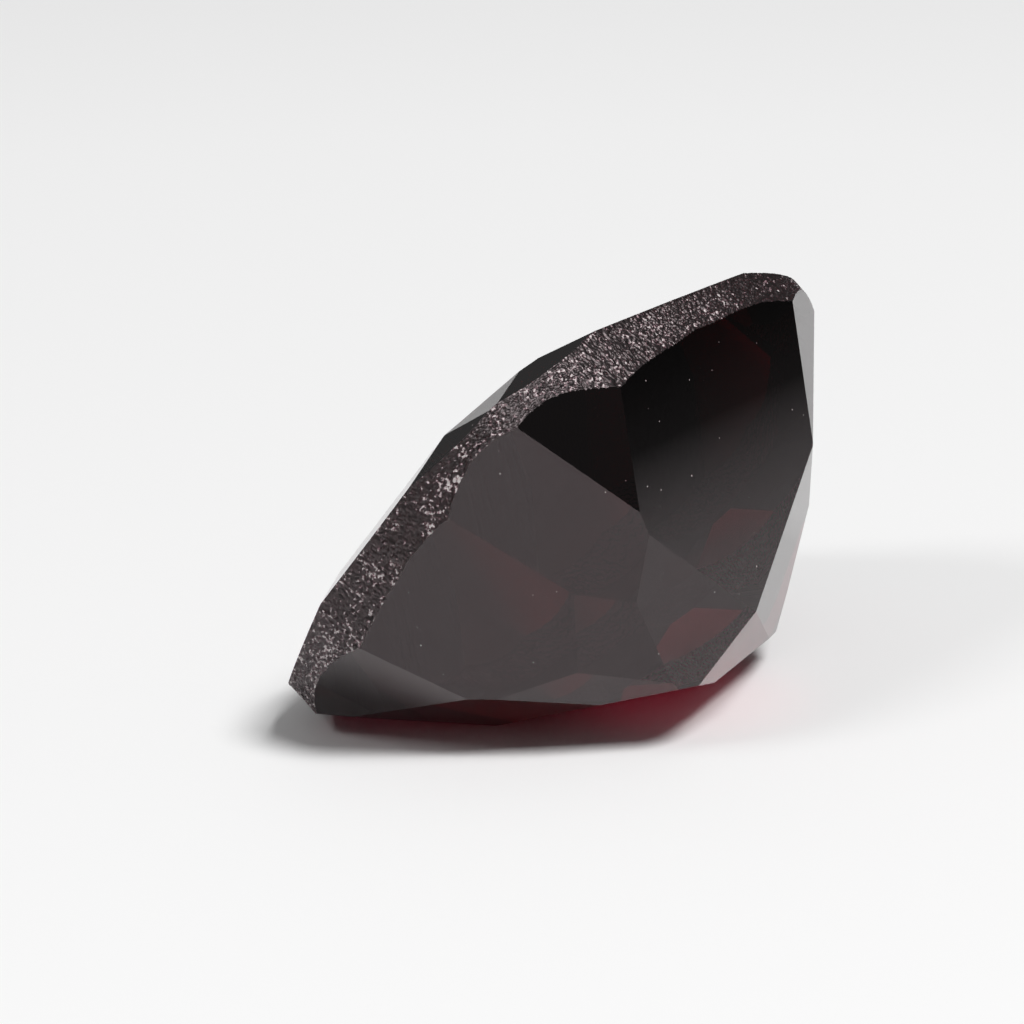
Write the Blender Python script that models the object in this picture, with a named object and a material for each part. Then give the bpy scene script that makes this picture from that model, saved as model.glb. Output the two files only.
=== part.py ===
"""A cut garnet: a cushion-shaped stone with a frosted girdle, lying on one of its lower facets."""
import math

import bmesh
import bpy
from mathutils import Matrix, Vector

# Cutting sizes are in millimetres and degrees. The stone is cut upright with its table down: +Z points
# to the point of the pavilion, and Z = 0 is the edge where the pavilion facets meet the girdle.
MILLIMETRE = 0.001
HALF_LENGTH = 5.0
HALF_WIDTH = 4.0
LONG_AXIS = 45.0            # azimuth of the outline's long axis
CORNER_POWER = 3.15         # 2 gives an ellipse, more gives fuller corners
GIRDLE_FACES = 192          # narrow upright faces round the outline
CORNER_FLAT = (70.0, 4.96)  # azimuth and distance of the flat ground on one corner
TABLE_DISTANCE = 1.152      # from the girdle line to the table
BLANK = (-2.0, 6.0)         # lowest and highest level of the uncut prism
SNAP = 0.0005               # points this close to a cut are put on it
MERGE = 0.005               # shorter edges are closed up

# Each facet: azimuth, angle from the girdle's plane, distance from the stone's centre.
PAVILION = {
    "near corner, left": (6.8, 53.4, 3.93),
    "near corner, right": (-16.3, 60.3, 3.96),
    "left side": (39.3, 50.8, 3.86),
    "right side": (-46.6, 53.3, 3.11),
    "left corner": (72.1, 54.9, 4.08),
    "right corner": (-75.8, 53.8, 3.76),
    "behind the left corner": (111.8, 48.7, 3.39),
    "behind the right corner": (-92.2, 46.9, 3.72),
    "left side, second row": (30.4, 43.0, 3.80),
    "right side, second row": (-21.0, 36.5, 3.49),
    "left corner, second row": (93.6, 41.4, 3.40),
    "right corner, second row": (-86.0, 32.3, 3.34),
    "far right, second row": (-126.0, 50.3, 4.03),
    "left side, third row": (52.5, 39.1, 3.76),
    "keel, front": (115.6, 33.0, 3.07),
    "keel, right": (-90.8, 12.1, 3.46),
    "keel, back": (156.0, 15.6, 3.44),
    "resting": (134.8, 52.3, 2.93),
}
CROWN = {
    "near corner, left": (15.8, 27.2, 3.03),
    "near corner, right": (-22.6, 33.1, 3.12),
    "near corner, upper": (0.0, 22.0, 2.64),
    "left side": (46.4, 19.4, 2.36),
    "right side": (-52.3, 19.5, 2.06),
    "left corner": (72.8, 23.7, 2.63),
    "right corner": (-88.0, 18.3, 2.03),
    "behind the left corner": (95.0, 21.0, 2.45),
}
# Facets repeated half a turn round, and how much further out they lie.
FAR_PAVILION = {
    "near corner, left": 0.25,
    "near corner, right": 0.14,
    "left side": 0.22,
    "left side, second row": 0.35,
    "right side, second row": 0.33,
}
FAR_CROWN = ("near corner, left", "near corner, right", "near corner, upper", "left side", "right side",
             "left corner")
FAR_CROWN_EXTRA = 0.02

HEADING = -33.25            # turns the resting stone so that its near corner faces the front
GARNET_RED = (0.18, 0.006, 0.016, 1.0)
GARNET_IOR = 1.77


def outline_radius(azimuth):
    """Radius of the superellipse at an azimuth."""
    turn = math.radians(azimuth - LONG_AXIS)
    along = abs(math.cos(turn) / HALF_LENGTH) ** CORNER_POWER
    across = abs(math.sin(turn) / HALF_WIDTH) ** CORNER_POWER
    return (along + across) ** (-1 / CORNER_POWER)


def facet_plane(azimuth, angle, distance, side):
    """Outward normal and distance of a facet; side is 1 on the pavilion and -1 on the crown."""
    turn, tilt = math.radians(azimuth), math.radians(angle)
    level = side * math.cos(tilt)
    return Vector((math.sin(tilt) * math.cos(turn), math.sin(tilt) * math.sin(turn), level)), distance


def all_planes():
    """The cuts of the whole stone, in the order in which they are made."""
    planes = [facet_plane(CORNER_FLAT[0], 90.0, CORNER_FLAT[1], 1)]
    planes += [facet_plane(*facet, 1) for facet in PAVILION.values()]
    planes += [facet_plane(*facet, -1) for facet in CROWN.values()]
    for name, extra in FAR_PAVILION.items():
        azimuth, angle, distance = PAVILION[name]
        planes.append(facet_plane(azimuth + 180, angle, distance + extra, 1))
    for name in FAR_CROWN:
        azimuth, angle, distance = CROWN[name]
        planes.append(facet_plane(azimuth + 180, angle, distance + FAR_CROWN_EXTRA, -1))
    planes.append((Vector((0.0, 0.0, -1.0)), TABLE_DISTANCE))
    return planes


def blank_prism():
    """The upright blank with the girdle's outline."""
    stone = bmesh.new()
    step = 360 / GIRDLE_FACES
    ring = []
    for index in range(GIRDLE_FACES):
        azimuth = (index + 0.5) * step
        radius, turn = outline_radius(azimuth), math.radians(azimuth)
        ring.append(stone.verts.new((radius * math.cos(turn), radius * math.sin(turn), BLANK[0])))
    base = stone.faces.new(ring)
    top = bmesh.ops.extrude_face_region(stone, geom=[base])
    raised = [part for part in top["geom"] if isinstance(part, bmesh.types.BMVert)]
    bmesh.ops.translate(stone, verts=raised, vec=(0, 0, BLANK[1] - BLANK[0]))
    bmesh.ops.recalc_face_normals(stone, faces=stone.faces)
    return stone


def cut(stone, normal, distance):
    """Take off what lies past a plane and close the stone with one flat facet."""
    everything = stone.verts[:] + stone.edges[:] + stone.faces[:]
    sawn = bmesh.ops.bisect_plane(stone, geom=everything, dist=SNAP, plane_co=normal * distance,
                                  plane_no=normal, clear_outer=True)
    rim = [part for part in sawn["geom_cut"] if isinstance(part, bmesh.types.BMEdge)]
    if rim:
        bmesh.ops.edgeloop_fill(stone, edges=rim)


def lay_on_facet(stone):
    """Turn the resting facet to the ground and put the origin under the middle of the stone."""
    azimuth, angle, _ = PAVILION["resting"]
    turn = Matrix.Rotation(math.radians(HEADING), 4, "Z")
    turn = turn @ Matrix.Rotation(math.radians(180 - angle), 4, "Y")
    turn = turn @ Matrix.Rotation(math.radians(-azimuth), 4, "Z")
    bmesh.ops.transform(stone, matrix=Matrix.Scale(MILLIMETRE, 4) @ turn, verts=stone.verts)
    low = [min(vert.co[axis] for vert in stone.verts) for axis in range(3)]
    high = [max(vert.co[axis] for vert in stone.verts) for axis in range(3)]
    foot = Vector(((low[0] + high[0]) / 2, (low[1] + high[1]) / 2, low[2]))
    bmesh.ops.translate(stone, verts=stone.verts, vec=-foot)


def garnet_material():
    """Clear dark red stone."""
    material = bpy.data.materials.new("garnet")
    material.use_nodes = True
    shader = material.node_tree.nodes["Principled BSDF"]
    shader.inputs["Base Color"].default_value = GARNET_RED
    shader.inputs["Roughness"].default_value = 0.03
    shader.inputs["Metallic"].default_value = 0.0
    shader.inputs["IOR"].default_value = GARNET_IOR
    shader.inputs["Transmission Weight"].default_value = 1.0
    material.diffuse_color = GARNET_RED
    return material


def build_garnet():
    """Cut the blank facet by facet and lay the stone down."""
    stone = blank_prism()
    for normal, distance in all_planes():
        cut(stone, normal, distance)
    bmesh.ops.remove_doubles(stone, verts=stone.verts, dist=MERGE)
    lay_on_facet(stone)
    bmesh.ops.recalc_face_normals(stone, faces=stone.faces)
    mesh = bpy.data.meshes.new("garnet")
    stone.to_mesh(mesh)
    stone.free()
    mesh.materials.append(garnet_material())
    garnet = bpy.data.objects.new("garnet", mesh)
    bpy.context.scene.collection.objects.link(garnet)


for leftover in list(bpy.data.objects):
    bpy.data.objects.remove(leftover, do_unlink=True)
build_garnet()
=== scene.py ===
import bpy
import numpy as np
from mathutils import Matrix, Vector


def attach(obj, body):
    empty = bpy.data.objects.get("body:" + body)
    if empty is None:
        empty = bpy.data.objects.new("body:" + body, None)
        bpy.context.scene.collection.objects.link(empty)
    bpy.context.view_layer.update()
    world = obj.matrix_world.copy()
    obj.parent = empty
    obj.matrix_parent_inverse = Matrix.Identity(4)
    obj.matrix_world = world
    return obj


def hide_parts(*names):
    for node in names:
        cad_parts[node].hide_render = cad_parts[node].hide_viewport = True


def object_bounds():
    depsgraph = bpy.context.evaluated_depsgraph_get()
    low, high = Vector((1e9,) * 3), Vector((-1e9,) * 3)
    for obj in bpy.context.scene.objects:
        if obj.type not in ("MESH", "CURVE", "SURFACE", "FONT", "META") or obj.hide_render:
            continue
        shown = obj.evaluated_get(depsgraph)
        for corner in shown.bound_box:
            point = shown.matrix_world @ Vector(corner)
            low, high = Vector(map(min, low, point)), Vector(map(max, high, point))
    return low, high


# A cut garnet on a pale table. The polished facets lie in the frame's own planes, the ground girdle
# between them is a fine relief, and one clear, dark red glass covers the whole stone.

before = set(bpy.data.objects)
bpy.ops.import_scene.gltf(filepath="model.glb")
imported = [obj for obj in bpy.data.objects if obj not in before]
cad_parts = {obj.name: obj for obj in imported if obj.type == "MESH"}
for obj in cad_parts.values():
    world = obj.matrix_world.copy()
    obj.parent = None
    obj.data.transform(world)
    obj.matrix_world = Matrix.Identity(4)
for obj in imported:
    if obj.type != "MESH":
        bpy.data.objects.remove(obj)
cadBox = [list(corner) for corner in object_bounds()]
mm = 0.001

stoneValues = {
    "columns": 2300,          # steps round the girdle
    "rows": 42,               # steps across the girdle, from the pavilion's edge to the crown's
    "wallLean": 0.05,         # a frame face that leans less than this from the upright is girdle wall
    "onWall": 0.002,          # millimetres from a wall face that still count as on it
    "smallestFacet": 0.25,    # square millimetres
    "sameNormal": 0.02,       # frame faces within these two are one facet
    "sameDistance": 0.03,     # millimetres
    "parallel": 1e-6,         # three planes whose determinant is below this have no corner
    "insideSlack": 1e-7,      # millimetres
    "anyDirection": (0.31, 0.52, 0.79),   # along no facet's normal
    "seed": 11,
}
girdleRelief = {              # millimetres
    "grainSize": 0.030,
    "grainDepth": 0.022,
    "fineSize": 0.5,          # of the grain's size
    "grainMix": (0.5, 0.35, 0.25),        # level, and shares of the grain and of the fine noise
    "deepestGrain": 1.6,      # of the grain's depth
    "waveSize": 0.30,
    "waveDepth": 0.016,
    "waveMix": (0.5, 0.4),    # level, and share of the slow noise
    "girdleWidth": 0.72,      # mean, from edge to edge
    "edgeShare": 0.45,        # share of the relief that is left at the girdle's two edges
    "edgeSharpness": 8,       # power of the distance from the girdle's middle
}


def planeGroups(node):
    # Puts the frame's triangles into facets: triangles whose normals and distances agree are one
    # facet, and its plane is their mean, weighted by area.
    mesh = node.data
    count = len(mesh.polygons)
    normals, centres, areas = np.zeros(count * 3), np.zeros(count * 3), np.zeros(count)
    mesh.polygons.foreach_get("normal", normals)
    mesh.polygons.foreach_get("center", centres)
    mesh.polygons.foreach_get("area", areas)
    normals, centres, areas = normals.reshape(-1, 3), centres.reshape(-1, 3) / mm, areas / mm ** 2
    distances = (normals * centres).sum(1)
    left = np.ones(count, bool)
    planes = []
    while left.any():
        seed = np.argmax(np.where(left, areas, -1))
        near = left & (np.linalg.norm(normals - normals[seed], axis=1) < stoneValues["sameNormal"])
        near &= abs(distances - distances[seed]) < stoneValues["sameDistance"]
        weight = areas[near]
        normal = (normals[near] * weight[:, None]).sum(0)
        normal /= np.linalg.norm(normal)
        planes.append((*normal, (centres[near] @ normal * weight).sum() / weight.sum(), weight.sum()))
        left &= ~near
    return np.array(planes)


def stoneFrame(planes, node):
    # Cutter's axes: the third points from the table to the pavilion, and the first, level one to
    # the near corner. The middle is that of the girdle's wall.
    table = planes[np.argmax(planes[:, 4])]
    down = -table[:3]
    near = np.array([0.0, -1.0, 0.0])
    near -= down * (near @ down)
    near /= np.linalg.norm(near)
    axes = np.stack([near, np.cross(down, near), down])
    points = np.zeros(len(node.data.vertices) * 3)
    node.data.vertices.foreach_get("co", points)
    points = points.reshape(-1, 3) / mm
    lean = abs(planes[:, :3] @ down)
    flat = planes[(lean > stoneValues["wallLean"]) & (planes[:, 4] > stoneValues["smallestFacet"])]
    upright = planes[lean < stoneValues["wallLean"]]
    reach = points @ upright[:, :3].T - upright[:, 3]
    wall = points[(abs(reach) < stoneValues["onWall"]).any(1)]
    middle = (wall.min(0) + wall.max(0)) / 2
    local = (wall - middle) @ axes.T
    centre = middle + ((local.max(0) + local.min(0)) / 2 * [1, 1, 0]) @ axes
    return axes, centre, (wall - centre) @ axes.T, flat


def outline(wall, azimuth):
    # The wall's radius at an azimuth, read between the frame's own wall corners.
    turn = np.arctan2(wall[:, 1], wall[:, 0])
    order = np.argsort(turn)
    return np.interp(azimuth, turn[order], np.hypot(wall[:, 0], wall[:, 1])[order], period=2 * np.pi)


def softNoise(shape, spacing, size, seed):
    # Random heights on the girdle's grid, blurred to a grain of the given size; the blur is a
    # product in frequency space, so the pattern closes round the stone.
    noise = np.random.default_rng(seed).normal(size=(shape[0], shape[1] * 2))
    along = np.fft.fftfreq(shape[0], spacing[0])[:, None]
    across = np.fft.fftfreq(shape[1] * 2, spacing[1])[None, :]
    blur = np.exp(-(along ** 2 + across ** 2) * (np.pi * size) ** 2 / 2)
    field = np.fft.ifft2(np.fft.fft2(noise) * blur).real[:, :shape[1]]
    return (field - field.mean()) / field.std()


def girdleHeights(columns, rows, perimeter):
    # Depth of the ground surface below the outline, in millimetres: sharp small grains, of which
    # only the pits count, on a slow wave left by the wheel. Each is a level plus its shares of noise,
    # kept between nothing and its deepest, times its depth.
    values = girdleRelief
    spacing = (perimeter / columns, values["girdleWidth"] / rows)
    grain = softNoise((columns, rows), spacing, values["grainSize"], stoneValues["seed"])
    fineSize = values["grainSize"] * values["fineSize"]
    fine = softNoise((columns, rows), spacing, fineSize, stoneValues["seed"] + 1)
    wave = softNoise((columns, rows), spacing, values["waveSize"], stoneValues["seed"] + 2)
    level, coarseShare, fineShare = values["grainMix"]
    pits = np.clip(level + coarseShare * grain + fineShare * fine, 0, values["deepestGrain"])
    depth = values["grainDepth"] * pits
    level, waveShare = values["waveMix"]
    depth += values["waveDepth"] * np.clip(level + waveShare * wave, 0, 1)
    across = np.linspace(-1, 1, rows)
    share = 1 - (1 - values["edgeShare"]) * abs(across) ** values["edgeSharpness"]
    return depth * share


def facetHeight(planes, x, y):
    # Level of each facet's plane above the point (x, y) of the girdle's plane.
    return (planes[:, 3] - x[..., None] * planes[:, 0] - y[..., None] * planes[:, 1]) / planes[:, 2]


def edgeRing(planes, side, radius, relief, azimuth):
    # Where the ground wall meets the facets of one side: each column takes the facet that lies
    # lowest there, and the column next to a change of facet is put on the line of both. Two facet
    # numbers are returned for each column, which differ only at a change.
    flatX, flatY = radius * np.cos(azimuth), radius * np.sin(azimuth)
    active = np.argmin(side * facetHeight(planes, flatX, flatY), axis=1)
    x, y = (radius - relief) * np.cos(azimuth), (radius - relief) * np.sin(azimuth)
    level = np.take_along_axis(facetHeight(planes, x, y), active[:, None], axis=1)[:, 0]
    ring = np.stack([x, y, level], 1)
    second = active.copy()
    change = np.nonzero(active != np.roll(active, -1))[0]
    after = (change + 1) % len(active)
    first, other = planes[active[change]], planes[active[after]]
    line = np.cross(first[:, :3], other[:, :3])
    line /= np.linalg.norm(line, axis=1)[:, None]
    system = np.stack([first[:, :3], other[:, :3], line], 1)
    foot = ring[change]
    right = np.stack([first[:, 3], other[:, 3], (line * foot).sum(1)], 1)
    ring[change] = np.linalg.solve(system, right[:, :, None])[:, :, 0]
    second[change] = active[after]
    return ring, active, second


def facetCorners(planes, wall):
    # Corners where three facets meet: every triple of planes is solved, and the points inside the
    # stone are kept, with the triple that made each.
    count = len(planes)
    grid = np.meshgrid(*[np.arange(count)] * 3, indexing="ij")
    first, second, third = (index.ravel() for index in grid)
    keep = (first < second) & (second < third)
    triples = np.stack([first[keep], second[keep], third[keep]], 1)
    system = planes[triples, :3]
    solid = abs(np.linalg.det(system)) > stoneValues["parallel"]
    triples, system = triples[solid], system[solid]
    points = np.linalg.solve(system, planes[triples, 3][:, :, None])[:, :, 0]
    inside = (points @ planes[:, :3].T - planes[:, 3] < stoneValues["insideSlack"]).all(1)
    turn = np.arctan2(points[:, 1], points[:, 0])
    inside &= np.hypot(points[:, 0], points[:, 1]) < outline(wall, turn)
    return points[inside], triples[inside]


def facetLoop(points, arc, own, normal, side):
    # The outline of one facet, seen from outside: its run of ring points in their own order, and
    # its corners, sorted by their angle round the facet's middle.
    across = np.cross(normal, stoneValues["anyDirection"])
    across /= np.linalg.norm(across)
    up = np.cross(normal, across)
    breaks = np.nonzero(np.diff(arc) > 1)[0] + 1
    runs = np.split(arc, breaks) if len(arc) else []
    if len(runs) > 1 and arc[0] == 0 and arc[-1] == stoneValues["columns"] - 1:
        runs[0] = np.concatenate([runs.pop(), runs[0]])
    pieces = [run[::side] for run in runs] + [own[i:i + 1] for i in range(len(own))]
    middles = np.array([points[piece[[0, len(piece) // 2, -1]]].mean(0) for piece in pieces])
    ends = np.concatenate([points[piece[[0, -1]]] for piece in pieces])
    around = middles - ends.mean(0)
    order = np.argsort(np.arctan2(around @ up, around @ across))
    return np.concatenate([pieces[number] for number in order])


def makeStone(node):
    # One closed mesh: the girdle is a grid of columns and rows, and each facet is one flat face.
    columns, rows = stoneValues["columns"], stoneValues["rows"]
    planes = planeGroups(node)
    axes, centre, wall, flat = stoneFrame(planes, node)
    planes = np.column_stack([flat[:, :3] @ axes.T, flat[:, 3] - flat[:, :3] @ centre])
    azimuth = np.linspace(-np.pi, np.pi, columns, endpoint=False)
    radius = outline(wall, azimuth)
    relief = girdleHeights(columns, rows, 2 * np.pi * radius.mean())
    below, above = planes[planes[:, 2] > 0], planes[planes[:, 2] < 0]
    lowRing, lowA, lowB = edgeRing(below, 1, radius, relief[:, 0], azimuth)
    highRing, highA, highB = edgeRing(above, -1, radius, relief[:, -1], azimuth)
    # the girdle: columns round, rows across, between the two rings
    part = np.linspace(0, 1, rows)
    reach = radius[:, None] - relief
    turnLow = np.arctan2(lowRing[:, 1], lowRing[:, 0])
    turnHigh = np.arctan2(highRing[:, 1], highRing[:, 0])
    drift = (turnHigh - turnLow + np.pi) % (2 * np.pi) - np.pi
    turn = turnLow[:, None] + drift[:, None] * part
    level = lowRing[:, 2:3] * (1 - part) + highRing[:, 2:3] * part
    band = np.stack([reach * np.cos(turn), reach * np.sin(turn), level], 2)
    band[:, 0], band[:, -1] = lowRing, highRing
    index = np.arange(columns * rows).reshape(columns, rows)
    ahead = np.roll(index, -1, axis=0)
    quads = np.stack([index[:, :-1], index[:, 1:], ahead[:, 1:], ahead[:, :-1]], 2).reshape(-1, 4)
    faces = quads.tolist()
    # the facets: corners of their own and the ring points that lie on them
    corners, triples = facetCorners(planes, wall)
    points = np.concatenate([band.reshape(-1, 3), corners])
    for side, row, first, second in ((1, 0, lowA, lowB), (-1, rows - 1, highA, highB)):
        ring = np.arange(columns) * rows + row
        everything = np.concatenate([points[ring], points])
        for number, plane in enumerate(np.nonzero(planes[:, 2] * side > 0)[0]):
            arc = np.nonzero((first == number) | (second == number))[0]
            own = columns + columns * rows + np.nonzero((triples == plane).any(1))[0]
            loop = facetLoop(everything, arc, own, planes[plane, :3], side)
            if len(loop) > 2:
                faces.append(np.where(loop < columns, loop * rows + row, loop - columns).tolist())
    points = (points @ axes + centre) * mm
    points = np.clip(points, cadBox[0], cadBox[1])
    mesh = bpy.data.meshes.new("garnetStone")
    mesh.from_pydata(points.tolist(), [], faces)
    mesh.update()
    onBand = np.zeros(len(faces), np.float32)
    onBand[:len(quads)] = 1
    mesh.attributes.new("girdle", "FLOAT", "FACE").data.foreach_set("value", onBand)
    mesh.polygons.foreach_set("use_smooth", onBand.astype(bool))
    stone = bpy.data.objects.new("garnetStone", mesh)
    bpy.context.scene.collection.objects.link(stone)
    print("stone", len(points), "points,", len(faces) - len(quads), "facets")
    return stone


glassValues = {
    "ior": 1.77,
    "tint": (0.44, 0.09, 0.18, 1.0),            # of the surface
    "paintedScatterTint": (1.0, 0.87, 0.89, 1.0),   # painted red light: tints the reflections pink, standing in for the faint red light scattered inside the stone
    "absorbColour": (0.71, 0.10, 0.34, 1.0),
    "absorbDensity": 1000.0,
    "girdleRoughness": 0.45,
    "specks": (17.0, 3.0),    # crushed specks on the girdle: noise cells to the millimetre, and detail
    "patches": (2.6, 1.0),    # the same for the patches in which they lie closer together
    "patchShare": 0.35,
    "glintLean": -8.0,        # painted glints: added for each metre to the right, so there are more on the left, where the lamps give the girdle fewer glints
    "speckShare": (0.58, 0.67),                 # noise level where a speck starts and is full
    # pale colour of the specks and of the dust motes; on the specks it is partly the ground surface's
    # own scatter and partly painted glint
    "speckColour": (0.50, 0.48, 0.47, 1.0),
    "dustScale": 4.2,         # cells to the millimetre, with a mote in each
    "dustSize": 0.078,        # of a cell, for the largest motes
    "dustEdge": (1.0, 0.6),   # of a mote's radius, from nothing to full
}


def addMath(tree, operation, *values):
    # A maths node; each value is a number, or a socket that is linked.
    node = tree.nodes.new("ShaderNodeMath")
    node.operation = operation
    for slot, value in zip(node.inputs, values):
        if isinstance(value, (int, float)):
            slot.default_value = value
        else:
            tree.links.new(value, slot)
    return node.outputs["Value"]


def addRange(tree, value, ends, smooth=False):
    # Goes from 0 at the first end to 1 at the second, and no further.
    span = tree.nodes.new("ShaderNodeMapRange")
    if smooth:
        span.interpolation_type = "SMOOTHSTEP"
    span.inputs["From Min"].default_value, span.inputs["From Max"].default_value = ends
    tree.links.new(value, span.inputs["Value"])
    return span


def addColourMix(tree, factor, first, second):
    mix = tree.nodes.new("ShaderNodeMix")
    mix.data_type = "RGBA"
    mix.inputs["A"].default_value = first
    mix.inputs["B"].default_value = second
    tree.links.new(factor, mix.inputs["Factor"])
    return mix.outputs["Result"]


def makeSpecksAndGlints(tree, where, girdle):
    # Crushed specks on the girdle, where a sum is above a threshold: fine noise, plus a share of
    # # slow noise that gathers them in patches, plus a lean towards the left. Their pale colour is
    # # partly the ground surface's own scatter and partly painted glints, and the lean paints more
    # # of them on the left, where the lamps give the girdle fewer glints.
    values = glassValues
    layers = []
    for scale, detail in (values["specks"], values["patches"]):
        noise = tree.nodes.new("ShaderNodeTexNoise")
        noise.inputs["Scale"].default_value = scale / mm
        noise.inputs["Detail"].default_value = detail
        tree.links.new(where.outputs["Object"], noise.inputs["Vector"])
        layers.append(noise.outputs["Fac"])
    parts = tree.nodes.new("ShaderNodeSeparateXYZ")
    tree.links.new(where.outputs["Object"], parts.inputs["Vector"])
    leaning = addMath(tree, "MULTIPLY_ADD", parts.outputs["X"], values["glintLean"], layers[0])
    level = addMath(tree, "MULTIPLY_ADD", layers[1], values["patchShare"], leaning)
    lift = values["patchShare"] / 2       # the slow noise's mean share
    ends = [share + lift for share in values["speckShare"]]
    speck = addRange(tree, level, ends, smooth=True)
    return addMath(tree, "MULTIPLY", speck.outputs["Result"], girdle.outputs["Fac"])


def makeDust(tree, where):
    # Motes and tiny chips on the polish: a ball round each cell's own point, as large as the cell's
    # random value says, shows where it meets the surface.
    values = glassValues
    cells = tree.nodes.new("ShaderNodeTexVoronoi")
    cells.inputs["Scale"].default_value = values["dustScale"] / mm
    tree.links.new(where.outputs["Object"], cells.inputs["Vector"])
    size = addMath(tree, "MULTIPLY", cells.outputs["Color"], values["dustSize"])
    reach = addMath(tree, "DIVIDE", cells.outputs["Distance"], size)
    return addRange(tree, reach, values["dustEdge"]).outputs["Result"]


def makeGarnetGlass():
    # Polished facets are clear. On the girdle the surface is rough, and small crushed specks of it
    # # scatter light like ground glass; their pale colour is partly painted glints. The tint is that
    # # of the surface, and the depth adds the rest.
    material = bpy.data.materials.new("garnetGlass")
    material.use_nodes = True
    tree = material.node_tree
    nodes, links = tree.nodes, tree.links
    shader, output = nodes["Principled BSDF"], nodes["Material Output"]
    values = glassValues
    shader.inputs["IOR"].default_value = values["ior"]
    # the reflections carry a painted pink tint for the red light scattered inside the stone
    shader.inputs["Specular Tint"].default_value = values["paintedScatterTint"]
    girdle = nodes.new("ShaderNodeAttribute")
    girdle.attribute_name = "girdle"
    rough = addMath(tree, "MULTIPLY", girdle.outputs["Fac"], values["girdleRoughness"])
    links.new(rough, shader.inputs["Roughness"])
    where = nodes.new("ShaderNodeTexCoord")
    # pale colour on the specks, which are partly painted glints, and on the dust motes
    pale = addMath(tree, "MAXIMUM", makeSpecksAndGlints(tree, where, girdle), makeDust(tree, where))
    colour = addColourMix(tree, pale, values["tint"], values["speckColour"])
    links.new(colour, shader.inputs["Base Color"])
    links.new(addMath(tree, "SUBTRACT", 1.0, pale), shader.inputs["Transmission Weight"])
    absorb = nodes.new("ShaderNodeVolumeAbsorption")
    absorb.inputs["Color"].default_value = values["absorbColour"]
    absorb.inputs["Density"].default_value = values["absorbDensity"]
    links.new(absorb.outputs["Volume"], output.inputs["Volume"])
    return material


stone = makeStone(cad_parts["garnet"])
stone.data.materials.append(makeGarnetGlass())
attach(stone, "root")
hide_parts("garnet")
print("glass done")

tableValues = {
    "size": 3.0,              # metres
    "colour": (0.9, 0.9, 0.9, 1.0),
    # painted shade: the sheet darkens to this far from the stone, for the lamps' falloff
    "farShade": (0.10, 0.10, 0.10, 1.0),
    "shadeFade": (0.030, 0.31),    # metres from the stone where the painted shade starts to darken the sheet and is full
    "roughness": 0.6,
    "shine": 0.2,
}


def makeTable():
    # A pale sheet with painted shade that darkens it far from the stone, standing in for the lamps'
    # falloff; the steeper facets mirror it.
    half = tableValues["size"] / 2
    corners = [(-half, -half, 0), (half, -half, 0), (half, half, 0), (-half, half, 0)]
    mesh = bpy.data.meshes.new("table")
    mesh.from_pydata(corners, [], [(0, 1, 2, 3)])
    table = bpy.data.objects.new("table", mesh)
    bpy.context.scene.collection.objects.link(table)
    material = bpy.data.materials.new("tablePaper")
    material.use_nodes = True
    tree = material.node_tree
    shader = tree.nodes["Principled BSDF"]
    shader.inputs["Roughness"].default_value = tableValues["roughness"]
    shader.inputs["Specular IOR Level"].default_value = tableValues["shine"]
    where = tree.nodes.new("ShaderNodeTexCoord")
    away = tree.nodes.new("ShaderNodeVectorMath")
    away.operation = "LENGTH"
    tree.links.new(where.outputs["Object"], away.inputs[0])
    shadeFade = addRange(tree, away.outputs["Value"], tableValues["shadeFade"])
    colour = addColourMix(tree, shadeFade.outputs["Result"], tableValues["colour"], tableValues["farShade"])
    tree.links.new(colour, shader.inputs["Base Color"])
    mesh.materials.append(material)
    return table


table = makeTable()
print("table done")

lightValues = {
    # degrees round from the front towards the right, degrees up, metres away, metres across, watts
    "main": {"round": 42, "up": 58, "away": 0.50, "size": 0.17, "power": 2.28},
    "fill": {"round": -58, "up": 45, "away": 0.50, "size": 0.13, "power": 0.41},
}


def makeLight(name):
    # A round lamp that faces the stone.
    values = lightValues[name]
    data = bpy.data.lights.new(name, "AREA")
    data.shape = "DISK"
    data.size = values["size"]
    data.energy = values["power"]
    turn, lift = np.radians(values["round"]), np.radians(values["up"])
    away = Vector((np.cos(lift) * np.sin(turn), -np.cos(lift) * np.cos(turn), np.sin(lift)))
    light = bpy.data.objects.new(name, data)
    light.location = away * values["away"]
    light.rotation_euler = away.to_track_quat("Z", "Y").to_euler()
    bpy.context.scene.collection.objects.link(light)


for name in lightValues:
    makeLight(name)

glowValues = {                # the red light that the stone lets through onto the sheet
    "place": (2.3, -0.7, 5.0),            # millimetres, like the next two
    "aim": (2.1, -0.8, 0.0),
    "radius": 0.5,
    "cone": 52,               # degrees
    "softEdge": 1.0,          # share of the cone that fades out
    "colour": (1.0, 0.07, 0.15),
    "power": 0.000095,        # watts
}


def makeGlow(receiver):
    # The rays that pass through the stone are too few to render cleanly, so a weak lamp that lights
    # the sheet alone, and that the stone doesn't shade, stands in for them.
    data = bpy.data.lights.new("glow", "SPOT")
    data.energy = glowValues["power"]
    data.color = glowValues["colour"]
    data.spot_size = np.radians(glowValues["cone"])
    data.spot_blend = glowValues["softEdge"]
    data.shadow_soft_size = glowValues["radius"] * mm
    light = bpy.data.objects.new("glow", data)
    place, aim = Vector(glowValues["place"]) * mm, Vector(glowValues["aim"]) * mm
    light.location = place
    light.rotation_euler = (aim - place).to_track_quat("-Z", "Y").to_euler()
    light.visible_camera = False
    light.visible_glossy = False
    light.visible_transmission = False
    bpy.context.scene.collection.objects.link(light)
    paper = bpy.data.collections.new("paper")
    paper.objects.link(receiver)
    light.light_linking.receiver_collection = paper
    light.light_linking.blocker_collection = paper


makeGlow(table)
print("lights done")

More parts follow.
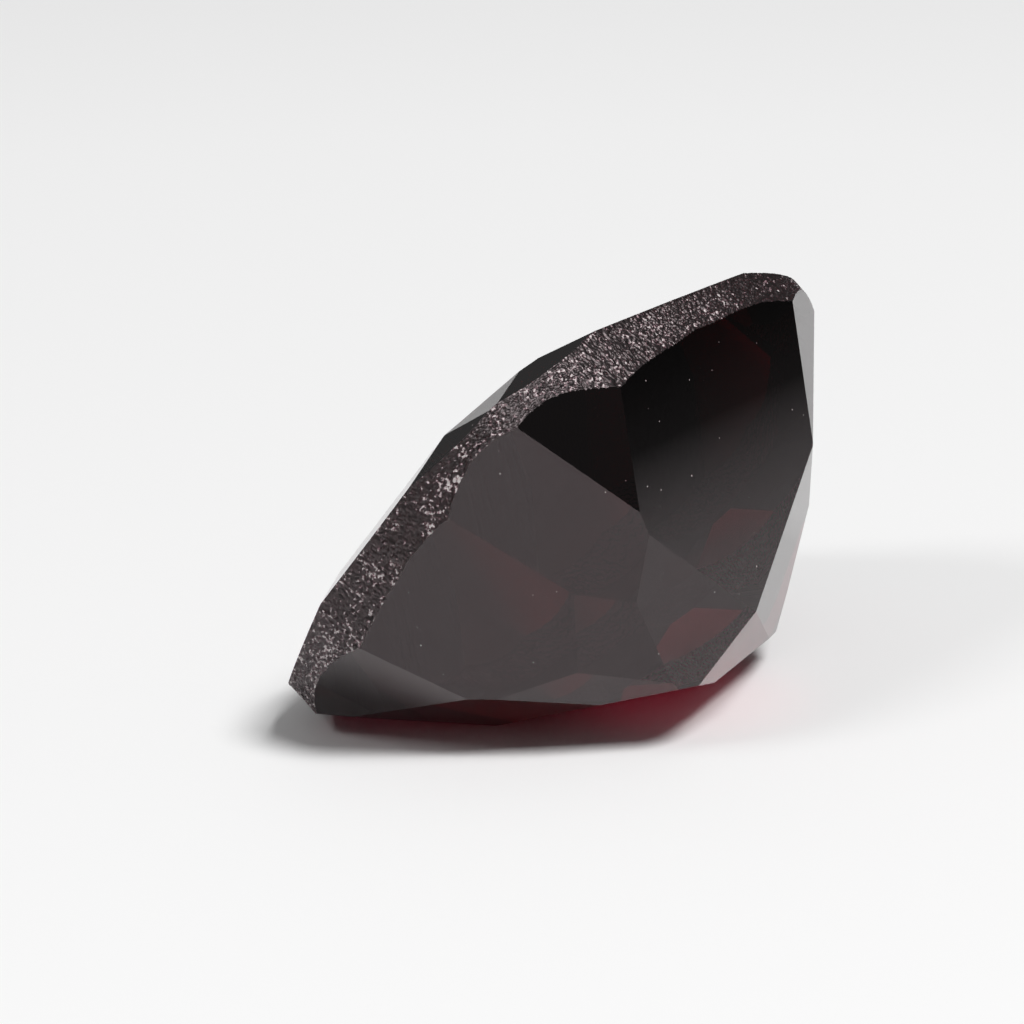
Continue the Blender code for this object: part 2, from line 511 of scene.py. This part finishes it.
skyValues = {
    "level": 0.12,            # brightness of the dark room round the table
    "overhead": 0.24,         # and of the pale ceiling
    "ceiling": (0.45, 0.75),  # height of a direction (0 level, 1 straight up) from room to ceiling
}


def makeSky():
    world = bpy.data.worlds.new("studio")
    bpy.context.scene.world = world
    world.use_nodes = True
    tree = world.node_tree
    where = tree.nodes.new("ShaderNodeTexCoord")
    parts = tree.nodes.new("ShaderNodeSeparateXYZ")
    tree.links.new(where.outputs["Generated"], parts.inputs["Vector"])
    rise = addRange(tree, parts.outputs["Z"], skyValues["ceiling"], smooth=True)
    rise.inputs["To Min"].default_value = skyValues["level"]
    rise.inputs["To Max"].default_value = skyValues["overhead"]
    background = tree.nodes["Background"]
    background.inputs["Color"].default_value = (1.0, 1.0, 1.0, 1.0)
    tree.links.new(rise.outputs["Result"], background.inputs["Strength"])


makeSky()
print("sky done")

viewValues = {
    "transform": "Standard",
    "gamma": 0.91,            # the photograph's darks are a little deeper
}
bpy.context.scene.view_settings.view_transform = viewValues["transform"]
bpy.context.scene.view_settings.gamma = viewValues["gamma"]

cameraValues = {              # millimetres and degrees
    "eye": (0.168, -122.176, 44.867),
    "target": (0.204, -0.171, 2.891),
    "fieldOfView": 6.974,
    "shift": (-0.0540, -0.0024),          # of the picture's width
    "sensor": 36.0,
    "clip": (0.01, 10.0),     # metres
}


def makeCamera():
    data = bpy.data.cameras.new("camera")
    # The lens is half the sensor over the tangent of half the field of view.
    data.sensor_width = cameraValues["sensor"]
    data.lens = data.sensor_width / 2 / np.tan(np.radians(cameraValues["fieldOfView"]) / 2)
    data.shift_x, data.shift_y = cameraValues["shift"]
    data.clip_start, data.clip_end = cameraValues["clip"]
    camera = bpy.data.objects.new("camera", data)
    eye, target = Vector(cameraValues["eye"]) * mm, Vector(cameraValues["target"]) * mm
    camera.location = eye
    camera.rotation_euler = (target - eye).to_track_quat("-Z", "Y").to_euler()
    bpy.context.scene.collection.objects.link(camera)
    bpy.context.scene.camera = camera


makeCamera()
print("camera done")
